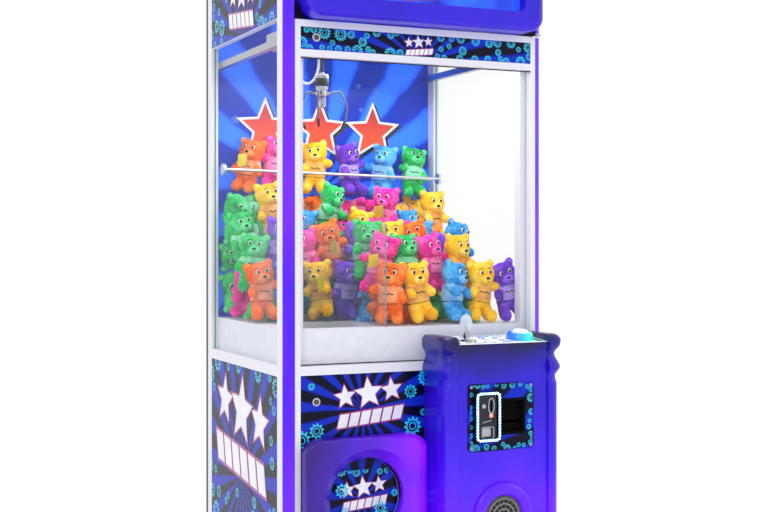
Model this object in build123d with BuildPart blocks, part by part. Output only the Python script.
"""Claw crane machine: an arcade cabinet with a hinged front door, an overhead gantry and a three-finger claw.

Frame: +X to the right of a player, +Y into the machine, +Z up. The origin is the middle of the footprint,
on the floor. All sizes are in millimetres. Heights are above the floor, u is a distance from the left side
of the cabinet and v a distance behind its front face. What stands in front of that face has a negative v.
"""

import math
import os

from build123d import *

os.makedirs("parts", exist_ok=True)

# ---- cabinet ----
overall_w = 787.0
overall_h = 2000.0
cabinet_d = 724.0
pedestal_out = 145.0
foot_h = 30.0
foot_r = 22.0
foot_stem_r = 6.0
foot_inset = 60.0
plinth_h = 30.0
roof_t = 20.0
side_t = 20.0
back_t = 18.0
corner_leg = 24.0
strip_t = 10.0
post_reach = 60.0
post_set_back = 28.0
glass_t = 5.0
side_stile_d = 42.0
side_sill_z = 865.6
side_head_z = overall_h - 209.0
# ---- door ----
door_gap = 3.0
door_t = 25.0
stile_w = 15.5
door_low_z = 62.0
door_high_z = overall_h - 217.0
window_low_z = 866.5
window_high_z = overall_h - 314.0
top_rail_h = 19.0
bottom_rail_h = 24.5
door_foot_h = 28.0
door_head_h = 18.0
panel_set_back = 2.0
header_panel_t = 4.0
lower_panel_t = 6.0
pivot_r = 4.0
pivot_clear = 0.05
pivot_out = 6.0
pivot_inset = 21.0
ear_t = 4.0
lock_u = 87.0
lock_r = 9.0
lock_clear = 0.1
lock_flange_r = 11.5
lock_flange_t = 2.5
cam_t = 3.0
cam_w = 14.0
cam_l = 44.0
upper_lock_z = overall_h - 262.0
lower_lock_z = 771.0
# ---- prize outlet ----
surround_out = 45.0
surround_top_z = 674.0
surround_low_z = 344.0
surround_corner_r = 42.0
surround_gap = 1.5
prize_z = 509.0
prize_u = 227.0
prize_r = 108.0
outlet_r = 102.0
flap_r = 106.0
flap_t = 4.0
flap_gap = 4.0
flap_axis_up = 106.0
flap_pin_r = 3.0
flap_half_w = 40.0
lug_w = 8.0
lug_half_h = 7.0
# ---- playfield and chute ----
board_z = 962.0
board_t = 18.0
skirt_t = 3.0
skirt_v = 30.0
chute_u = 302.0
chute_v = 313.0
chute_wall = 3.0
bin_u = 394.0
bin_top_z = 650.0
bin_low_z = 385.0
guard_t = 4.0
guard_h = 283.0
rod_v = 622.0
rod_r = 5.0
rod_up = 449.0
rod_disc_r = 18.5
rod_disc_t = 8.0
rod_tilt = 1.2
# ---- marquee ----
marquee_low_z = overall_h - 214.0
marquee_high_z = overall_h - 10.0
marquee_out = 80.0
marquee_inset = 42.0
marquee_border = 65.0
marquee_lip = 50.0
marquee_r = 40.0
sign_recess = 30.0
sign_t = 4.0
# ---- control pedestal ----
pedestal_w = 367.0
pedestal_right = 22.0
pedestal_low_z = 70.0
pillar_w = 43.0
pillar_wall = 5.0
pillar_front = 135.0
panel_rear_z = 933.0
panel_front_z = 920.0
panel_t = 6.0
front_panel_out = 126.0
front_panel_t = 6.0
coin_plate_w = 203.5
coin_plate_low_z = 630.0
coin_plate_h = 182.5
coin_plate_t = 3.0
plate_off_centre = 6.25
bezel_w = 77.0
bezel_h = 135.7
bezel_low_z = 656.6
bezel_out = 16.0
bezel_rim = 9.0
bezel_recess = 6.0
bill_w = 81.0
bill_h = 99.6
bill_low_z = 671.0
return_w = 31.0
return_h = 26.0
return_up = 13.0
return_clear = 0.5
coin_button_r = 6.0
coin_button_up = 97.0
coin_button_side = 14.0
slot_w = 5.0
slot_h = 30.0
speaker_z = 451.0
speaker_off_centre = 1.5
speaker_ring_r = 95.0
speaker_r = 55.0
speaker_ring_t = 16.0
# ---- joystick and play button ----
stick_in = 98.0
stick_out = 75.0
stick_pivot_z = 895.0
stick_r = 6.0
stick_hole_r = 19.0
stick_top_z = 952.0
knob_r = 17.5
knob_top_z = 999.0
trunnion_r = 3.0
run_clear = 0.05
box_half = 32.0
box_wall = 4.0
ring_half = 22.0
ring_wall = 6.0
button_in = 101.0
button_out = 75.0
dome_r = 39.0
dome_h = 20.0
plunger_r = 22.5
plunger_h = 26.0
plunger_clear = 0.3
plunger_travel = 4.0
switch_r = 8.0
# ---- gantry and claw ----
rail_z = overall_h - 270.0
rail_h = 20.0
rail_w = 20.0
glide_clear = 0.1
home_u = 170.0
home_v = 170.0
truck_l = 90.0
truck_w = 30.0
beam_r = 6.0
beam_half = 25.0
beam_z = overall_h - 262.0
carriage_w = 90.0
carriage_d = 80.0
carriage_low_z = overall_h - 285.0
carriage_h = 50.0
drum_r = 13.0
drum_w = 22.0
axle_r = 3.0
pocket_w = 40.0
pocket_d = 28.0
cord_r = 5.0
claw_z = overall_h - 388.0
solenoid_r = 18.0
solenoid_h = 44.0
hub_r = 15.0
finger_pivot_r = 20.0
finger_r = 2.5
finger_pin_r = 1.5
finger_eye_r = 4.6
finger_eye_t = 3.0
ear_gap = 0.1
conduit_r = 3.5
# ---- plush prizes ----
bear_h = 186.0
bear_r = 38.0
bear_lying_l = 184.0

half_w = overall_w / 2
front_y = pedestal_out - (cabinet_d + pedestal_out) / 2
back_y = front_y + cabinet_d
plinth_z = foot_h + plinth_h
roof_z = overall_h - roof_t
back_v = cabinet_d - back_t


def across(u):
    """Turns a distance from the cabinet's left side into an X."""
    return u - half_w


def depth(v):
    """Turns a distance behind the front face into a Y."""
    return front_y + v


def block(u, v, z, mode=Mode.ADD):
    """Adds a box that spans the pairs u, v and z."""
    middle = (across(sum(u) / 2), depth(sum(v) / 2), sum(z) / 2)
    with Locations(middle):
        Box(u[1] - u[0], v[1] - v[0], z[1] - z[0], mode=mode)


def facing(u, z, v=0.0):
    """A plane that looks out of the front: its X is the machine's, its Y is up and its normal is -Y."""
    return Plane(origin=(across(u), depth(v), z), x_dir=(1, 0, 0), z_dir=(0, -1, 0))


def slice_at(u):
    """A plane across the machine at u, with depth as its X and height as its Y."""
    return Plane(origin=(across(u), front_y, 0), x_dir=(0, 1, 0), z_dir=(1, 0, 0))


def save(builder, name):
    """Labels a finished piece and writes it."""
    builder.part.label = name
    export_step(builder.part, f"parts/{name}.step")


# ---------------------------------------------------------------- cabinet
def levelling_feet():
    with BuildPart() as feet:
        for u in (foot_inset, overall_w - foot_inset):
            for v in (foot_inset, cabinet_d - foot_inset):
                with BuildSketch(Plane(origin=(across(u), depth(v), 0))):
                    Circle(foot_r)
                extrude(amount=foot_h / 2, taper=12)
                with BuildSketch(Plane(origin=(across(u), depth(v), foot_h / 2))):
                    Circle(foot_stem_r)
                extrude(amount=foot_h / 2)
    save(feet, "levelling_feet")


def footprint():
    """The cabinet's outline from above, with its two front corners cut at 45 degrees."""
    with BuildLine() as outline:
        Polyline(
            (-half_w + corner_leg, front_y),
            (half_w - corner_leg, front_y),
            (half_w, front_y + corner_leg),
            (half_w, back_y),
            (-half_w, back_y),
            (-half_w, front_y + corner_leg),
            close=True,
        )
    return outline.line


def plinth_and_roof():
    for name, low, height in (("plinth", foot_h, plinth_h), ("roof_panel", roof_z, roof_t)):
        with BuildPart() as slab:
            with BuildSketch(Plane.XY.offset(low)):
                with BuildLine():
                    add(footprint())
                make_face()
            extrude(amount=height)
        save(slab, name)


def side_frames():
    with BuildPart() as frames:
        block((0, side_t), (corner_leg, back_v), (plinth_z, roof_z))
        window_v = (corner_leg + side_stile_d, back_v - side_stile_d)
        block((0, side_t), window_v, (side_sill_z, side_head_z), Mode.SUBTRACT)
        mirror(about=Plane.YZ)
    save(frames, "side_frames")


def side_glass():
    inset = (side_t - glass_t) / 2
    with BuildPart() as glass:
        window_v = (corner_leg + side_stile_d, back_v - side_stile_d)
        block((inset, inset + glass_t), window_v, (side_sill_z, side_head_z))
        mirror(about=Plane.YZ)
    save(glass, "side_glass")


def back_panel():
    with BuildPart() as panel:
        block((0, overall_w), (back_v, cabinet_d), (plinth_z, roof_z))
        block(inlet_u, (back_v, cabinet_d), inlet_z, Mode.SUBTRACT)
    save(panel, "back_panel")


inlet_u = (90.0, 150.0)
inlet_z = (110.0, 145.0)
inlet_wall = 4.0


def power_inlet():
    with BuildPart() as inlet:
        block(inlet_u, (back_v, cabinet_d), inlet_z)
        socket_u = (inlet_u[0] + inlet_wall, inlet_u[0] + inlet_wall + 28.0)
        socket_z = (inlet_z[0] + 8.0, inlet_z[1] - 8.0)
        block(socket_u, (cabinet_d - 12.0, cabinet_d), socket_z, Mode.SUBTRACT)
    save(inlet, "power_inlet")


def front_posts():
    """Folded steel posts behind the front corners, which the door closes against."""
    with BuildPart() as posts:
        with BuildSketch(Plane.XY.offset(plinth_z)):
            with BuildLine():
                Polyline(
                    (across(strip_t), depth(corner_leg)),
                    (across(corner_leg), depth(strip_t)),
                    (across(corner_leg), depth(post_set_back)),
                    (across(post_reach), depth(post_set_back)),
                    (across(post_reach), depth(post_reach)),
                    (across(side_t), depth(post_reach)),
                    (across(side_t), depth(corner_leg)),
                    close=True,
                )
            make_face()
        extrude(amount=roof_z - plinth_z)
        mirror(about=Plane.YZ)
    save(posts, "front_posts")


def corner_light_strips():
    """Light diffusers that fill the cut corners, slightly bowed outwards."""
    bow = corner_leg / 2 - 2.0
    with BuildPart() as strips:
        with BuildSketch(Plane.XY.offset(plinth_z)):
            with BuildLine():
                ThreePointArc(
                    (across(0), depth(corner_leg)),
                    (across(bow), depth(bow)),
                    (across(corner_leg), depth(0)),
                )
                Polyline(
                    (across(corner_leg), depth(0)),
                    (across(corner_leg), depth(strip_t)),
                    (across(strip_t), depth(corner_leg)),
                    (across(0), depth(corner_leg)),
                )
            make_face()
        extrude(amount=roof_z - plinth_z)
        mirror(about=Plane.YZ)
    save(strips, "corner_light_strips")


def front_header_board():
    with BuildPart() as board:
        u = (corner_leg + door_gap, overall_w - corner_leg - door_gap)
        block(u, (0, strip_t), (marquee_low_z, roof_z))
    save(board, "front_header_board")


# ---------------------------------------------------------------- marquee
marquee_u = (marquee_inset, overall_w - marquee_inset)


def marquee_shell():
    """A moulded frame with rounded corners and a deep window for the sign."""
    height = marquee_high_z - marquee_low_z
    width = marquee_u[1] - marquee_u[0]
    centre_z = (marquee_high_z + marquee_low_z) / 2
    sign_low = marquee_low_z + marquee_lip
    sign_h = height - marquee_lip * 1.5
    with BuildPart() as shell:
        with BuildSketch(facing(overall_w / 2, centre_z)):
            RectangleRounded(width, height, marquee_r)
        extrude(amount=marquee_out)
        with BuildSketch(facing(overall_w / 2, sign_low + sign_h / 2)):
            RectangleRounded(width - 2 * marquee_border, sign_h, marquee_r / 2)
        extrude(amount=marquee_out, mode=Mode.SUBTRACT)
        front = shell.faces().sort_by(Axis.Y)[0]
        fillet(front.outer_wire().edges(), marquee_r / 2)
    save(shell, "marquee_shell")


def marquee_sign():
    height = marquee_high_z - marquee_low_z
    width = marquee_u[1] - marquee_u[0]
    sign_low = marquee_low_z + marquee_lip
    sign_h = height - marquee_lip * 1.5
    with BuildPart() as sign:
        plane = facing(overall_w / 2, sign_low + sign_h / 2, sign_recess - marquee_out)
        with BuildSketch(plane):
            RectangleRounded(width - 2 * marquee_border, sign_h, marquee_r / 2)
        extrude(amount=-sign_t)
    save(sign, "marquee_sign")


# ---------------------------------------------------------------- playfield
chute_hole_u = (post_reach + chute_wall, chute_u - chute_wall)
chute_hole_v = (post_reach + 15.0, chute_v - chute_wall)


def playfield_board():
    """The white liner: a deck with a hole over the chute and skirts that hang down behind the door and the sides."""
    inner = (side_t, overall_w - side_t)
    with BuildPart() as board:
        block(inner, (post_reach, back_v), (board_z - board_t, board_z))
        between = (post_reach, overall_w - post_reach)
        block(between, (skirt_v, post_reach), (board_z - board_t, board_z))
        block(between, (skirt_v, skirt_v + skirt_t), (window_low_z - bottom_rail_h, board_z))
        for start in (side_t, overall_w - side_t - skirt_t):
            block((start, start + skirt_t), (post_reach, back_v), (window_low_z - bottom_rail_h, board_z - board_t))
        block(chute_hole_u, chute_hole_v, (board_z - board_t, board_z), Mode.SUBTRACT)
    save(board, "playfield_board")


def prize_chute():
    """A duct from the hole in the deck down to a bin whose front is open towards the prize flap."""
    duct_u = (post_reach, chute_hole_u[1] + chute_wall)
    duct_v = (chute_hole_v[0] - chute_wall, chute_hole_v[1] + chute_wall)
    bin_v = (door_t + 2.0, duct_v[1])
    bin_out_u = (post_reach, bin_u)
    bin_in_u = (post_reach + chute_wall, bin_u - chute_wall)
    with BuildPart() as chute:
        block(duct_u, duct_v, (bin_top_z - chute_wall, board_z - board_t))
        block(bin_out_u, bin_v, (bin_low_z, bin_top_z))
        block(bin_in_u, (bin_v[0], bin_v[1] - chute_wall), (bin_low_z + chute_wall, bin_top_z - chute_wall),
              Mode.SUBTRACT)
        block(chute_hole_u, chute_hole_v, (bin_top_z - 2 * chute_wall, board_z - board_t), Mode.SUBTRACT)
    save(chute, "prize_chute")


def chute_guard():
    """An L of clear acrylic that keeps prizes out of the chute."""
    u = (side_t, chute_u + guard_t)
    v = (skirt_v + skirt_t, chute_v + guard_t)
    z = (board_z, board_z + guard_h)
    with BuildPart() as guard:
        block((chute_u, u[1]), v, z)
        block(u, (chute_v, v[1]), z)
    save(guard, "chute_guard")


def tension_rod():
    """A sprung rod across the cabinet that holds the rear row of prizes back."""
    reach = overall_w / 2 - side_t
    tilt = math.radians(rod_tilt)
    direction = (math.cos(tilt), 0, -math.sin(tilt))
    with BuildPart() as rod:
        plane = Plane(origin=(0, depth(rod_v), board_z + rod_up), x_dir=(0, 1, 0), z_dir=direction)
        with BuildSketch(plane.offset(-reach)):
            Circle(rod_r)
        extrude(amount=2 * reach)
        for start in (-reach, reach - rod_disc_t):
            with BuildSketch(plane.offset(start)):
                Circle(rod_disc_r)
            extrude(amount=rod_disc_t)
    save(rod, "tension_rod")


# Rows of standing prizes, front to back: v, then (u, height of the feet above the deck, colour) for each.
rows = (
    (99, ((346, 1, "orange"), (430, 1, "yellow"), (546, 1, "blue"), (636, 1, "yellow"), (722, 1, "purple"))),
    (178, ((350, 80, "pink"), (432, 80, "green"), (514, 80, "pink"), (600, 80, "yellow"))),
    (266, ((346, 120, "green"), (428, 120, "yellow"), (512, 120, "orange"), (640, 120, "blue"))),
    (357, ((58, 1, "orange"), (146, 1, "blue"), (236, 1, "yellow"), (318, 1, "purple"), (402, 1, "green"),
           (486, 120, "pink"), (570, 120, "blue"), (660, 80, "purple"))),
    (440, ((58, 80, "green"), (140, 130, "purple"), (222, 95, "pink"), (304, 120, "orange"),
           (388, 112, "purple"), (470, 125, "pink"), (554, 100, "blue"), (640, 110, "orange"))),
    (528, ((58, 150, "green"), (146, 238, "yellow"), (240, 160, "blue"), (336, 236, "green"),
           (430, 160, "yellow"), (526, 230, "pink"), (612, 160, "blue"), (694, 220, "yellow"))),
    (667, ((122, 380, "orange"), (206, 388, "pink"), (344, 378, "yellow"), (462, 376, "purple"),
           (578, 374, "blue"), (690, 372, "green"))),
)
colours = ("orange", "pink", "yellow", "purple", "blue", "green")
lying_u = (113, 300, 487, 673)
lying_u_by_chute = (402, 589)
lying_r = 37.0


def clear_of_guard(u, v, reach):
    """Whether a prize of this reach to its left is behind the chute's guard or to the right of it."""
    return v - bear_r > chute_v + guard_t or u - reach > chute_u + guard_t


def lying_prizes():
    """Prizes that lie across the machine under the standing ones, as (u, v, z, r, colour)."""
    found = []
    for v, standing in rows:
        for u in lying_u if v > chute_v else lying_u_by_chute:
            if not clear_of_guard(u, v, bear_lying_l / 2):
                continue
            reach = bear_lying_l / 2 + bear_r
            above = [z for at, z, _ in standing if abs(at - u) < reach] or [standing[-1][1]]
            count = round(min(above) / (2 * lying_r))
            pitch = min(above) / max(count, 1)
            for layer in range(count):
                colour = colours[(len(found) * 5 + layer) % len(colours)]
                radius = min(pitch / 2 - 0.6, lying_r)
                found.append((u, v, (layer + 0.5) * pitch, radius, colour))
    return found


def upright_prize(u, v, z):
    """A standing prize: a round-shouldered pillar."""
    with BuildSketch(Plane(origin=(across(u), depth(v), 0), x_dir=(1, 0, 0), z_dir=(0, -1, 0))) as profile:
        with BuildLine():
            Polyline((0, z), (bear_r - 10, z), (bear_r, z + 12), (bear_r, z + bear_h - 34))
            RadiusArc((bear_r, z + bear_h - 34), (bear_r - 26, z + bear_h), -40)
            Polyline((bear_r - 26, z + bear_h), (0, z + bear_h), (0, z))
        make_face()
    revolve(profile.sketch, axis=Axis((across(u), depth(v), 0), (0, 0, 1)))


def plush(colour):
    with BuildPart() as prizes:
        for v, standing in rows:
            for u, z, name in standing:
                if name == colour and clear_of_guard(u, v, bear_r):
                    upright_prize(u, v, board_z + z)
        for u, v, z, radius, name in lying_prizes():
            if name == colour:
                plane = Plane(origin=(across(u - bear_lying_l / 2), depth(v), board_z + z), z_dir=(1, 0, 0))
                with BuildSketch(plane):
                    Circle(radius)
                extrude(amount=bear_lying_l)
    save(prizes, f"plush_{colour}")


# ---------------------------------------------------------------- door
door_u = (corner_leg + door_gap, overall_w - corner_leg - door_gap)
opening_u = (door_u[0] + stile_w, door_u[1] - stile_w)
pivot_u = overall_w - pivot_inset
header_low_z = window_high_z + top_rail_h
header_high_z = door_high_z - door_head_h
lower_low_z = door_low_z + door_foot_h
lower_high_z = window_low_z - bottom_rail_h


def pivot_plane(z):
    return Plane(origin=(across(pivot_u), depth(-pivot_out), z))


def door_frame():
    """The welded steel door, with an ear at its top and bottom that turns on a pivot pin."""
    with BuildPart() as frame:
        block(door_u, (0, door_t), (door_low_z, door_high_z))
        for z in ((lower_low_z, lower_high_z), (window_low_z, window_high_z), (header_low_z, header_high_z)):
            block(opening_u, (0, door_t), z, Mode.SUBTRACT)
        for low in (door_low_z, door_high_z - ear_t):
            block((opening_u[1], pivot_u), (-2 * pivot_out, 0), (low, low + ear_t))
            with BuildSketch(pivot_plane(low)):
                Circle(pivot_out)
            extrude(amount=ear_t)
            with BuildSketch(pivot_plane(low)):
                Circle(pivot_r + pivot_clear)
            extrude(amount=ear_t, mode=Mode.SUBTRACT)
    save(frame, "door_frame")


def door_pivots():
    """Brackets with pins, one on the plinth and one on the header board."""
    with BuildPart() as pivots:
        bracket_u = (pivot_u - 12.0, pivot_u + pivot_out)
        low_z = plinth_z - ear_t
        block(bracket_u, (-2 * pivot_out, 0), (low_z, plinth_z))
        with BuildSketch(pivot_plane(plinth_z)):
            Circle(pivot_r)
        extrude(amount=door_low_z + ear_t - plinth_z)
        block(bracket_u, (-2 * pivot_out, 0), (marquee_low_z, marquee_low_z + ear_t))
        with BuildSketch(pivot_plane(door_high_z - ear_t)):
            Circle(pivot_r)
        extrude(amount=marquee_low_z - door_high_z + ear_t)
    save(pivots, "door_pivots")


def door_glass():
    with BuildPart() as glass:
        block(opening_u, (4.0, 4.0 + glass_t), (window_low_z, window_high_z))
    save(glass, "door_glass")


def lock_hole(z, thick):
    with BuildSketch(facing(lock_u, z, panel_set_back)) as hole:
        Circle(lock_r + lock_clear)
    extrude(hole.sketch, amount=-thick, mode=Mode.SUBTRACT)


def door_header_panel():
    with BuildPart() as panel:
        block(opening_u, (panel_set_back, panel_set_back + header_panel_t), (header_low_z, header_high_z))
        lock_hole(upper_lock_z, header_panel_t)
    save(panel, "door_header_panel")


flap_v = panel_set_back + lower_panel_t + flap_gap
flap_axis_v = flap_v + flap_t / 2
flap_axis_z = prize_z + flap_axis_up


def door_lower_panel():
    """The printed lower panel, with the prize hole and the two lugs that the flap swings from."""
    back = panel_set_back + lower_panel_t
    with BuildPart() as panel:
        block(opening_u, (panel_set_back, back), (lower_low_z, lower_high_z))
        lock_hole(lower_lock_z, lower_panel_t)
        with BuildSketch(facing(prize_u, prize_z, panel_set_back)):
            Circle(outlet_r)
        extrude(amount=-lower_panel_t, mode=Mode.SUBTRACT)
        for side in (-1, 1):
            near = flap_half_w + 0.5
            edges = sorted((prize_u + side * near, prize_u + side * (near + lug_w)))
            block(edges, (back, flap_axis_v + lug_half_h), (flap_axis_z - lug_half_h, flap_axis_z + lug_half_h))
            with BuildSketch(Plane(origin=(across(edges[0]), depth(flap_axis_v), flap_axis_z), z_dir=(1, 0, 0))):
                Circle(flap_pin_r + run_clear)
            extrude(amount=lug_w, mode=Mode.SUBTRACT)
    save(panel, "door_lower_panel")


def prize_flap():
    """A clear disc hung from a sleeve with a stub at each end."""
    with BuildPart() as flap:
        with BuildSketch(facing(prize_u, prize_z, flap_v)):
            Circle(flap_r)
            with Locations((0, flap_r)):
                Rectangle(2 * flap_r, 2 * (flap_r - flap_axis_up + 14.0), mode=Mode.SUBTRACT)
            with Locations((0, flap_axis_up - 12.0)):
                Rectangle(2 * flap_half_w - 4.0, 24.0)
        extrude(amount=-flap_t)
        for half, radius in ((flap_half_w, 5.0), (flap_half_w + lug_w, flap_pin_r)):
            origin = (across(prize_u - half), depth(flap_axis_v), flap_axis_z)
            with BuildSketch(Plane(origin=origin, z_dir=(1, 0, 0))):
                Circle(radius)
            extrude(amount=2 * half)
    save(flap, "prize_flap")


pedestal_u = (overall_w - pedestal_right - pedestal_w, overall_w - pedestal_right)
surround_u = (opening_u[0] + surround_gap, pedestal_u[0] - surround_gap)


def prize_surround():
    """A moulded frame, dished down to the prize opening."""
    middle_u = sum(surround_u) / 2
    middle_z = (surround_top_z + surround_low_z) / 2
    width = surround_u[1] - surround_u[0]
    thick = surround_out + panel_set_back
    with BuildPart() as surround:
        with BuildSketch(facing(middle_u, middle_z, panel_set_back)):
            RectangleRounded(width, surround_top_z - surround_low_z, surround_corner_r)
        extrude(amount=thick)
        front = surround.faces().sort_by(Axis.Y)[0]
        fillet(front.outer_wire().edges(), 14)
        with BuildSketch(facing(prize_u, prize_z, panel_set_back)):
            Circle(prize_r)
        extrude(amount=thick, mode=Mode.SUBTRACT)
        dish = prize_r + 26.0
        with BuildSketch(Plane(origin=(across(prize_u), 0, prize_z), x_dir=(1, 0, 0), z_dir=(0, 0, 1))):
            with BuildLine():
                Polyline(
                    (prize_r - 1, depth(-surround_out) - 1),
                    (dish + 1, depth(-surround_out) - 1),
                    (prize_r, depth(-surround_out) + 30),
                    (prize_r - 1, depth(-surround_out) + 30),
                    close=True,
                )
            make_face()
        revolve(axis=Axis((across(prize_u), 0, prize_z), (0, 1, 0)), mode=Mode.SUBTRACT)
    save(surround, "prize_surround")


def door_lock(name, z):
    """A turning lock plug with a cam that reaches behind the front post when it is locked."""
    cam_v = post_reach + 3.0
    with BuildPart() as lock:
        with BuildSketch(facing(lock_u, z, panel_set_back)):
            Circle(lock_flange_r)
        extrude(amount=lock_flange_t)
        fillet(lock.faces().sort_by(Axis.Y)[0].edges(), 0.8)
        with BuildSketch(facing(lock_u, z, panel_set_back)):
            Circle(lock_r)
        extrude(amount=-(cam_v - panel_set_back))
        with BuildSketch(facing(lock_u, z, cam_v)):
            with Locations((0, cam_w / 2 - cam_l / 2)):
                Rectangle(cam_w, cam_l)
        extrude(amount=-cam_t)
        block((lock_u - 0.8, lock_u + 0.8), (panel_set_back - lock_flange_t, panel_set_back), (z - 4, z + 4),
              Mode.SUBTRACT)
    save(lock, name)


# ---------------------------------------------------------------- pedestal
deck_u = (pedestal_u[0] + pillar_w, pedestal_u[1] - pillar_w)
stick_u = pedestal_u[0] + stick_in
button_u = pedestal_u[1] - button_in
deck_slope = (panel_rear_z - panel_front_z) / 130.0


def deck_z(out):
    """The height of the control panel's top at a distance in front of the door."""
    return panel_rear_z - deck_slope * (out - 2.0)


def pillar_outline(inset):
    """The scrolled outline of a pillar, drawn smaller all round by inset."""
    front = pillar_front - inset
    top = panel_rear_z + 8.0 - inset
    low = pedestal_low_z + inset
    cap = pedestal_out - inset
    with BuildLine() as outline:
        Polyline((0, top), (0, low), (-front, low), (-front, 806 + inset))
        Spline(
            (-front, 806 + inset),
            (-front + 3, 824),
            (-cap + 3, 850),
            (-cap + 15, 886),
            (-cap + 2, 912),
            (-cap, 922),
            tangents=((0, 1), (0, 1)),
        )
        RadiusArc((-cap, 922), (-cap + 10, top - 9), 11)
        Line((-cap + 10, top - 9), (0, top))
    return outline.line


def pedestal_pillars():
    """Two moulded pillars, open at the back, that flank the controls."""
    with BuildPart() as pillars:
        for start, side in ((pedestal_u[0], 1), (pedestal_u[1], -1)):
            with BuildSketch(slice_at(start)):
                with BuildLine():
                    add(pillar_outline(0))
                make_face()
            extrude(amount=side * pillar_w)
            with BuildSketch(slice_at(start + side * pillar_wall)):
                with BuildLine():
                    add(pillar_outline(pillar_wall))
                make_face()
            extrude(amount=side * (pillar_w - 2 * pillar_wall), mode=Mode.SUBTRACT)
    save(pillars, "pedestal_pillars")


plate_low_u = sum(deck_u) / 2 - coin_plate_w / 2 - plate_off_centre
plate_u = (plate_low_u, plate_low_u + coin_plate_w)
bezel_u = (plate_u[0] + 15.5, plate_u[0] + 15.5 + bezel_w)
bill_u = (bezel_u[1] + 4.0, bezel_u[1] + 4.0 + bill_w)
bill_z = (bill_low_z, bill_low_z + bill_h)
bezel_z = (bezel_low_z, bezel_low_z + bezel_h)
return_u = (sum(bezel_u) / 2 - return_w / 2, sum(bezel_u) / 2 + return_w / 2)
return_z = (bezel_low_z + return_up, bezel_low_z + return_up + return_h)
coin_button_u = sum(bezel_u) / 2 - coin_button_side
coin_button_z = bezel_low_z + coin_button_up
slot_u = (sum(bezel_u) / 2 + 8.0, sum(bezel_u) / 2 + 8.0 + slot_w)
slot_z = (coin_button_z - slot_h / 2, coin_button_z + slot_h / 2)
speaker_u = sum(deck_u) / 2 + speaker_off_centre


def pedestal_front_panel():
    with BuildPart() as panel:
        v = (-front_panel_out, front_panel_t - front_panel_out)
        block(deck_u, v, (pedestal_low_z, panel_front_z - 8.0))
        block(bill_u, v, bill_z, Mode.SUBTRACT)
        block((bezel_u[0] + 6, bezel_u[1] - 6), v, (bezel_z[0] + 6, bezel_z[1] - 6), Mode.SUBTRACT)
        with BuildSketch(facing(speaker_u, speaker_z, -front_panel_out)):
            Circle(speaker_r - 5)
        extrude(amount=-front_panel_t, mode=Mode.SUBTRACT)
    save(panel, "pedestal_front_panel")


def panel_plane(u, out):
    """A plane on the sloping control panel, its normal square to it."""
    tilt = math.atan(deck_slope)
    origin = (across(u), depth(-out), deck_z(out))
    return Plane(origin=origin, x_dir=(1, 0, 0), z_dir=(0, -math.sin(tilt), math.cos(tilt)))


def control_panel():
    lip = front_panel_out + panel_t
    with BuildPart() as panel:
        with BuildSketch(slice_at(deck_u[0])):
            with BuildLine():
                Polyline(
                    (-2, deck_z(2)),
                    (-lip, deck_z(lip)),
                    (-lip, deck_z(lip) - 14),
                    (-front_panel_out, deck_z(lip) - 14),
                    (-front_panel_out, deck_z(front_panel_out) - panel_t),
                    (-2, deck_z(2) - panel_t),
                    close=True,
                )
            make_face()
        extrude(amount=deck_u[1] - deck_u[0])
        with BuildSketch(Plane(origin=(across(stick_u), depth(-stick_out), deck_z(stick_out) - 12))):
            Circle(stick_hole_r)
        extrude(amount=24, mode=Mode.SUBTRACT)
        with BuildSketch(panel_plane(button_u, button_out).offset(-12)):
            Circle(switch_r + 1)
        extrude(amount=24, mode=Mode.SUBTRACT)
    save(panel, "control_panel")


# ---------------------------------------------------------------- coin and bill
def coin_plate():
    with BuildPart() as plate:
        v = (-front_panel_out - coin_plate_t, -front_panel_out)
        block(plate_u, v, (coin_plate_low_z, coin_plate_low_z + coin_plate_h))
        fillet(plate.edges().filter_by(Axis.Y), 8)
        block(bill_u, v, bill_z, Mode.SUBTRACT)
        block(return_u, v, return_z, Mode.SUBTRACT)
        block(slot_u, v, slot_z, Mode.SUBTRACT)
    save(plate, "coin_plate")


bezel_back = -front_panel_out - coin_plate_t
bezel_face = bezel_back - bezel_out + bezel_recess


def coin_bezel():
    """The coin acceptor's face: a raised rim round a sunk plate with a slot, a button and a return cup."""
    v = (bezel_back - bezel_out, bezel_back)
    with BuildPart() as bezel:
        block(bezel_u, v, bezel_z)
        fillet(bezel.edges().filter_by(Axis.Y), 10)
        fillet(bezel.faces().sort_by(Axis.Y)[0].edges(), 3)
        sunk_u = (bezel_u[0] + bezel_rim, bezel_u[1] - bezel_rim)
        sunk_z = (bezel_z[0] + bezel_rim + 2, bezel_z[1] - bezel_rim - 2)
        block(sunk_u, (v[0], bezel_face), sunk_z, Mode.SUBTRACT)
        block(return_u, v, return_z, Mode.SUBTRACT)
        block(slot_u, v, slot_z, Mode.SUBTRACT)
        with BuildSketch(facing(coin_button_u, coin_button_z, bezel_face)):
            Circle(coin_button_r + lock_clear)
        extrude(amount=-(bezel_back - bezel_face), mode=Mode.SUBTRACT)
    save(bezel, "coin_bezel")


def coin_return_button():
    with BuildPart() as button:
        with BuildSketch(facing(coin_button_u, coin_button_z, bezel_back - 4.0)):
            Circle(coin_button_r)
        extrude(amount=11.0)
        fillet(button.faces().sort_by(Axis.Y)[0].edges(), 1.2)
    save(button, "coin_return_button")


return_axis_v = bezel_back - 3.0
return_axis_z = return_z[1] - 2.5


def coin_return_flap():
    with BuildPart() as flap:
        u = (return_u[0] + return_clear, return_u[1] - return_clear)
        v = (return_axis_v - 1.0, return_axis_v + 1.0)
        block(u, v, (return_z[0] + return_clear, return_axis_z))
        origin = (across(u[0]), depth(return_axis_v), return_axis_z)
        with BuildSketch(Plane(origin=origin, z_dir=(1, 0, 0))):
            Circle(1.6)
        extrude(amount=u[1] - u[0])
    save(flap, "coin_return_flap")


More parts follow.
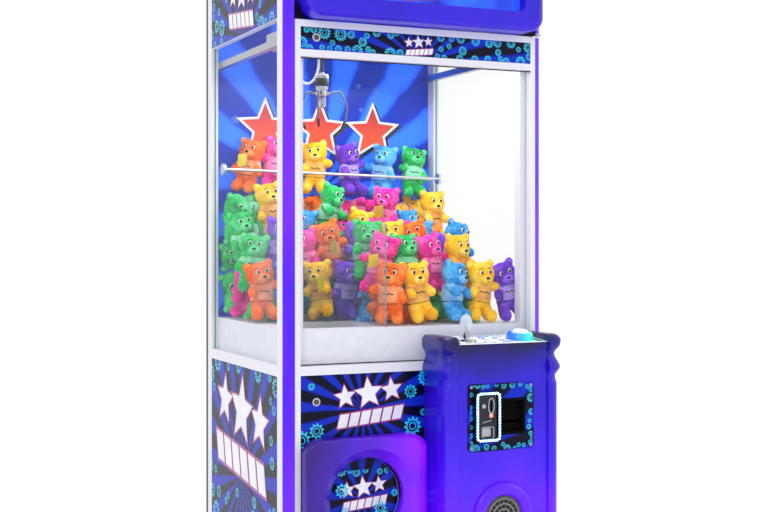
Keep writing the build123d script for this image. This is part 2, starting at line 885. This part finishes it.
def coin_mech():
    """The coin acceptor behind the bezel, above its return cup."""
    with BuildPart() as mech:
        u = (bezel_u[0] + 8, bezel_u[1] - 8)
        block(u, (front_panel_t - front_panel_out, -50), (return_z[1] + 8, bezel_z[1] - 8))
        block(slot_u, (front_panel_t - front_panel_out, -90), slot_z, Mode.SUBTRACT)
    save(mech, "coin_mech")


def bill_acceptor():
    """A black mask with a funnel for notes, set in the opening of the coin plate."""
    v = (-front_panel_out - coin_plate_t, -60.0)
    with BuildPart() as acceptor:
        block(bill_u, v, bill_z)
        throat_z = (bill_z[0] + 30, bill_z[0] + 38)
        wide = (bill_u[0] + 6, bill_u[1] - 6)
        block(wide, (v[0], v[0] + 16), (bill_z[0] + 8, bill_z[1] - 8), Mode.SUBTRACT)
        block((wide[0] + 2, wide[1] - 2), (v[0] + 16, v[0] + 46), throat_z, Mode.SUBTRACT)
    save(acceptor, "bill_acceptor")


def speaker_ring():
    """A half-round moulded ring, turned about the speaker's axis."""
    middle = (speaker_ring_r + speaker_r) / 2
    base = depth(-front_panel_out)
    with BuildPart() as ring:
        with BuildSketch(Plane(origin=(across(speaker_u), 0, speaker_z), x_dir=(1, 0, 0), z_dir=(0, 0, 1))):
            with BuildLine():
                ThreePointArc((speaker_r, base), (middle, base - speaker_ring_t), (speaker_ring_r, base))
                Line((speaker_ring_r, base), (speaker_r, base))
            make_face()
        revolve(axis=Axis((across(speaker_u), 0, speaker_z), (0, 1, 0)))
    save(ring, "speaker_ring")


def speaker_grille():
    with BuildPart() as grille:
        with BuildSketch(facing(speaker_u, speaker_z, -front_panel_out)):
            Circle(speaker_r)
            for ring, count in ((13, 6), (26, 12), (39, 18)):
                with PolarLocations(ring, count):
                    Circle(3.4, mode=Mode.SUBTRACT)
        extrude(amount=3)
    save(grille, "speaker_grille")


# ---------------------------------------------------------------- joystick and button
def joystick_housing():
    """An open box under the panel, its rim cut to the panel's slope, with bores for the gimbal."""
    near = stick_out - box_half
    far = stick_out + box_half
    floor = stick_pivot_z - 20
    with BuildPart() as housing:
        with BuildSketch(slice_at(stick_u - box_half)):
            with BuildLine():
                Polyline(
                    (-near, deck_z(near) - panel_t),
                    (-far, deck_z(far) - panel_t),
                    (-far, floor),
                    (-near, floor),
                    close=True,
                )
            make_face()
        extrude(amount=2 * box_half)
        block(
            (stick_u - box_half + box_wall, stick_u + box_half - box_wall),
            (-far + box_wall, -near - box_wall),
            (floor + box_wall, deck_z(near)),
            Mode.SUBTRACT,
        )
        origin = (across(stick_u - box_half), depth(-stick_out), stick_pivot_z)
        with BuildSketch(Plane(origin=origin, z_dir=(1, 0, 0))):
            Circle(trunnion_r + run_clear)
        extrude(amount=2 * box_half, mode=Mode.SUBTRACT)
    save(housing, "joystick_housing")


def joystick_gimbal():
    """A square ring with two trunnions along X and bores along Y."""
    with BuildPart() as gimbal:
        with BuildSketch(Plane(origin=(across(stick_u), depth(-stick_out), stick_pivot_z - 4))):
            Rectangle(2 * ring_half, 2 * ring_half)
            Rectangle(2 * (ring_half - ring_wall), 2 * (ring_half - ring_wall), mode=Mode.SUBTRACT)
        extrude(amount=8)
        for side in (-1, 1):
            origin = (across(stick_u + side * ring_half), depth(-stick_out), stick_pivot_z)
            with BuildSketch(Plane(origin=origin, z_dir=(side, 0, 0))):
                Circle(trunnion_r)
            extrude(amount=box_half - ring_half)
        origin = (across(stick_u), depth(-stick_out - ring_half), stick_pivot_z)
        with BuildSketch(Plane(origin=origin, z_dir=(0, 1, 0))):
            Circle(trunnion_r - 0.5 + run_clear)
        extrude(amount=2 * ring_half, mode=Mode.SUBTRACT)
    save(gimbal, "joystick_gimbal")


def joystick_shaft():
    with BuildPart() as shaft:
        with BuildSketch(Plane(origin=(across(stick_u), depth(-stick_out), stick_pivot_z - 9))):
            Circle(stick_r)
        extrude(amount=stick_top_z - stick_pivot_z + 9)
        origin = (across(stick_u), depth(-stick_out - ring_half), stick_pivot_z)
        with BuildSketch(Plane(origin=origin, z_dir=(0, 1, 0))):
            Circle(trunnion_r - 0.5)
        extrude(amount=2 * ring_half)
        with BuildSketch(Plane(origin=(across(stick_u), depth(-stick_out), deck_z(stick_out) + 8))):
            Circle(stick_r + 3)
        extrude(amount=10)
    save(shaft, "joystick_shaft")


def joystick_knob():
    """A pear-shaped clear knob, turned about the stick."""
    centre = knob_top_z - knob_r
    with BuildPart() as knob:
        with BuildSketch(Plane(origin=(across(stick_u), depth(-stick_out), 0), x_dir=(1, 0, 0), z_dir=(0, -1, 0))):
            with BuildLine():
                Line((0, knob_top_z), (0, stick_top_z))
                Line((0, stick_top_z), (8, stick_top_z))
                Spline((8, stick_top_z), (11, stick_top_z + 10), (knob_r, centre), tangents=((0, 1), (0, 1)))
                RadiusArc((knob_r, centre), (0, knob_top_z), -knob_r)
            make_face()
        revolve(axis=Axis((across(stick_u), depth(-stick_out), 0), (0, 0, 1)))
    save(knob, "joystick_knob")


def profile_on_panel(points):
    """Turns a profile of (radius, height) points about the play button's axis."""
    plane = panel_plane(button_u, button_out)
    upright = Plane(origin=plane.origin, x_dir=(1, 0, 0), z_dir=plane.x_dir.cross(plane.z_dir))
    with BuildSketch(upright) as profile:
        with BuildLine():
            Polyline(*points, close=True)
        make_face()
    revolve(profile.sketch, axis=Axis(plane.origin, plane.z_dir))


def button_dome():
    """The lit dome round the play button."""
    bore = plunger_r + plunger_clear
    steps = [math.radians(a) for a in range(0, 61, 12)]
    arc = [(bore + 3 + (dome_r - bore - 3) * math.cos(a), dome_h * math.sin(a) / math.sin(steps[-1])) for a in steps]
    with BuildPart() as dome:
        profile_on_panel([(switch_r + 1, 0), *arc, (bore, dome_h), (bore, 3), (switch_r + 1, 3)])
    save(dome, "button_dome")


def button_plunger():
    """The play button and its stem, which passes through the panel to the switch."""
    low = 3 + plunger_travel + 1
    with BuildPart() as plunger:
        profile_on_panel(
            [
                (0, -16),
                (switch_r, -16),
                (switch_r, low),
                (plunger_r, low),
                (plunger_r, plunger_h - 3),
                (plunger_r - 4, plunger_h),
                (0, plunger_h + 1),
            ]
        )
    save(plunger, "button_plunger")


# ---------------------------------------------------------------- gantry
def gantry_rails():
    with BuildPart() as rails:
        block((side_t, side_t + rail_w), (post_reach, back_v), (rail_z, rail_z + rail_h))
        mirror(about=Plane.YZ)
    save(rails, "gantry_rails")


truck_u = side_t + rail_w + glide_clear


def gantry_bridge():
    """Two rods across the machine between trucks that glide on the rails."""
    with BuildPart() as bridge:
        for flip in (False, True):
            low_u = side_t + 2.0
            top_z = rail_z + rail_h + glide_clear
            for u, z in (
                ((low_u, truck_u + 12), (top_z, top_z + 20)),
                ((truck_u, truck_u + 12), (rail_z - 4, top_z)),
            ):
                u = tuple(sorted(overall_w - value for value in u)) if flip else u
                block(u, (home_v - truck_l / 2, home_v + truck_l / 2), z)
        for v in (home_v - beam_half, home_v + beam_half):
            with BuildSketch(Plane(origin=(across(truck_u + 10), depth(v), beam_z), z_dir=(1, 0, 0))):
                Circle(beam_r)
            extrude(amount=overall_w - 2 * (truck_u + 10))
    save(bridge, "gantry_bridge")


def carriage():
    """The trolley on the rods, with a pocket under it for the winch drum."""
    u = (home_u - carriage_w / 2, home_u + carriage_w / 2)
    v = (home_v - carriage_d / 2, home_v + carriage_d / 2)
    with BuildPart() as trolley:
        block(u, v, (carriage_low_z, carriage_low_z + carriage_h))
        fillet(trolley.edges().filter_by(Axis.Z), 8)
        pocket_u = (home_u - pocket_w / 2, home_u + pocket_w / 2)
        pocket_v = (home_v - pocket_d / 2, home_v + pocket_d / 2)
        block(pocket_u, pocket_v, (carriage_low_z, carriage_low_z + 38), Mode.SUBTRACT)
        for beam_v in (home_v - beam_half, home_v + beam_half):
            with BuildSketch(Plane(origin=(across(u[0]), depth(beam_v), beam_z), z_dir=(1, 0, 0))):
                Circle(beam_r + run_clear)
            extrude(amount=carriage_w, mode=Mode.SUBTRACT)
        origin = (across(home_u), depth(home_v - pocket_d / 2 - 3), drum_z)
        with BuildSketch(Plane(origin=origin, z_dir=(0, 1, 0))):
            Circle(axle_r + run_clear)
        extrude(amount=pocket_d + 6, mode=Mode.SUBTRACT)
    save(trolley, "carriage")


drum_z = carriage_low_z + 19.0


def winch_drum():
    with BuildPart() as drum:
        for width, radius in ((drum_w, drum_r), (pocket_d + 5.6, axle_r)):
            origin = (across(home_u), depth(home_v - width / 2), drum_z)
            with BuildSketch(Plane(origin=origin, z_dir=(0, 1, 0))):
                Circle(radius)
            extrude(amount=width)
        for side in (-1, 1):
            origin = (across(home_u), depth(home_v + side * drum_w / 2), drum_z)
            with BuildSketch(Plane(origin=origin, z_dir=(0, -side, 0))):
                Circle(drum_r + 2.5)
            extrude(amount=2)
    save(drum, "winch_drum")


claw_top_z = claw_z + 8 + solenoid_h


def claw_cord():
    """The coiled lead that carries the claw, as one fat tube from the carriage's pocket to the solenoid."""
    with BuildPart() as cord:
        with BuildSketch(Plane(origin=(across(home_u), depth(home_v), claw_top_z + 6))):
            Circle(cord_r)
        extrude(amount=carriage_low_z + 1.5 - claw_top_z - 6)
    save(cord, "claw_cord")


def claw_place(turn, z=0.0):
    """A location on the claw's axis, turned to face one finger."""
    return Location((across(home_u), depth(home_v), claw_z + z), (0, 0, turn))


finger_turns = (0, 120, 240)


def claw_body():
    """The solenoid with its plunger hub and three pairs of ears, a pin through each pair."""
    with BuildPart() as claw:
        with BuildSketch(Plane(origin=(across(home_u), depth(home_v), claw_z + 8))):
            Circle(solenoid_r)
        extrude(amount=solenoid_h)
        fillet(claw.edges().filter_by(GeomType.CIRCLE), 2.5)
        with BuildSketch(Plane(origin=(across(home_u), depth(home_v), claw_top_z))):
            Circle(6)
        extrude(amount=6)
        with BuildSketch(Plane(origin=(across(home_u), depth(home_v), claw_z - 8))):
            Circle(hub_r)
        extrude(amount=18)
        ear = finger_eye_t / 2 + ear_gap
        for turn in finger_turns:
            with Locations(claw_place(turn)):
                for side in (-1, 1):
                    with Locations((finger_pivot_r - 4, side * (ear + 1), 0)):
                        Box(13, 2, 7)
                with Locations(Location((finger_pivot_r, 0, 0), (90, 0, 0))):
                    Cylinder(finger_pin_r, 2 * ear + 1)
    save(claw, "claw_body")


def finger_points(turn):
    """The line of a finger: out from its pivot, down round a wide bend and back in to its tip."""
    angle = math.radians(turn)
    line = ((finger_pivot_r + 4.2, 0), (56, 8), (78, -36), (72, -72), (60, -97))
    centre = (across(home_u), depth(home_v))
    return [(centre[0] + r * math.cos(angle), centre[1] + r * math.sin(angle), claw_z + z) for r, z in line]


def claw_finger(number, turn):
    """A bent steel rod with a flat eye that hangs on the claw's pin."""
    with BuildPart() as finger:
        with BuildLine() as line:
            FilletPolyline(*finger_points(turn), radius=[14, 30, 30])
        with BuildSketch(Plane(origin=line.line @ 0, z_dir=line.line % 0)):
            Circle(finger_r)
        sweep()
        with Locations(claw_place(turn)):
            with Locations(Location((finger_pivot_r, 0, 0), (90, 0, 0))):
                Cylinder(finger_eye_r, finger_eye_t)
                Cylinder(finger_pin_r + run_clear, 3 * finger_eye_t, mode=Mode.SUBTRACT)
    save(finger, f"claw_finger_{number}")


# The wiring loop under the carriage, as (u, v, distance below the carriage).
loop_route = (
    (122, 203, 0), (122, 203, 17), (114, 205, 40), (116, 207, 62), (136, 208, 77),
    (156, 207, 69), (170, 205, 45), (174, 203, 21), (174, 203, 0),
)


def wiring_loop():
    """A spiral-wrapped loop of wiring that leaves the carriage and goes back into it."""
    points = [(across(u), depth(v), carriage_low_z - drop) for u, v, drop in loop_route]
    radii = []
    for before, corner, after in zip(points, points[1:], points[2:]):
        first = Vector(*corner) - Vector(*before)
        second = Vector(*after) - Vector(*corner)
        shorter = min(first.length, second.length)
        turn = math.radians(first.get_angle(second))
        radii.append(0.45 * shorter / math.tan(turn / 2))
    print("wiring_loop radii", [round(radius, 1) for radius in radii])
    with BuildPart() as loop:
        with BuildLine() as line:
            FilletPolyline(*points, radius=radii)
        with BuildSketch(Plane(origin=line.line @ 0, z_dir=line.line % 0)):
            Circle(conduit_r)
        sweep()
    run = line.wires()[0].length
    expected = math.pi * conduit_r**2 * run
    print("wiring_loop length", round(run, 1), "volume ratio", loop.part.volume / expected)
    save(loop, "wiring_loop")


def main():
    levelling_feet()
    plinth_and_roof()
    side_frames()
    side_glass()
    back_panel()
    power_inlet()
    front_posts()
    corner_light_strips()
    front_header_board()
    marquee_shell()
    marquee_sign()
    playfield_board()
    prize_chute()
    chute_guard()
    tension_rod()
    for colour in colours:
        plush(colour)
    door_frame()
    door_pivots()
    door_glass()
    door_header_panel()
    door_lower_panel()
    prize_flap()
    prize_surround()
    door_lock("upper_lock", upper_lock_z)
    door_lock("lower_lock", lower_lock_z)
    pedestal_pillars()
    pedestal_front_panel()
    control_panel()
    coin_plate()
    coin_bezel()
    coin_return_button()
    coin_return_flap()
    coin_mech()
    bill_acceptor()
    speaker_ring()
    speaker_grille()
    joystick_housing()
    joystick_gimbal()
    joystick_shaft()
    joystick_knob()
    button_dome()
    button_plunger()
    gantry_rails()
    gantry_bridge()
    carriage()
    winch_drum()
    claw_cord()
    claw_body()
    for number, turn in enumerate(finger_turns, 1):
        claw_finger(number, turn)
    wiring_loop()


main()
